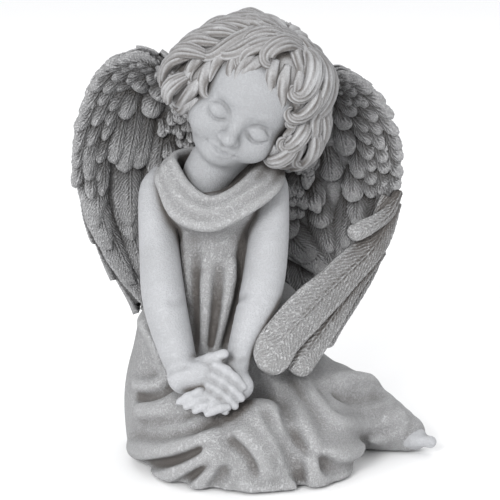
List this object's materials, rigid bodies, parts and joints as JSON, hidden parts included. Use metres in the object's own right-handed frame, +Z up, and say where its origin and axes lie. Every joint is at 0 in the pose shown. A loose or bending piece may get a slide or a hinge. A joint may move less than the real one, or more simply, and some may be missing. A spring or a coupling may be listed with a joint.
{
  "type": "angel figurine",
  "caption": "Seated child angel figurine in cast resin: draped robe, curly hair, bare arms crossed at the lap, feathered wings folded round it, closed base on felt pads.",
  "frame": {"origin": "on the surface that the felt pads stand on, under the middle of the figurine's box", "axes": "+Z up, the figure faces -Y, and +X is the figure's own left, where the feet come out"},
  "size_m": [0.2038, 0.1417, 0.2489],
  "materials": {
    "robe_resin": "matt granular cast stone with a brown-grey wash in the folds",
    "skin_resin": "smoother satin cast stone",
    "hair_resin": "satin cast stone with a wash in the grooves",
    "wing_resin": "matt cast stone with a darker brown-grey wash between the feathers",
    "plate_resin": "matt cast stone, unpainted",
    "rubber": "matt rubber",
    "felt": "short felt"
  },
  "bodies": {
    "root": {"robe_body": "robe_resin", "head": "skin_resin", "hair": "hair_resin", "right_arm": "skin_resin", "left_arm": "skin_resin", "feet": "skin_resin", "right_wing": "wing_resin", "left_wing": "wing_resin", "left_wing_primaries": "wing_resin", "base_plate": "plate_resin", "vent_plug": "rubber", "felt_pad_1": "felt", "felt_pad_2": "felt", "felt_pad_3": "felt", "felt_pad_4": "felt"}
  },
  "joints": []
}
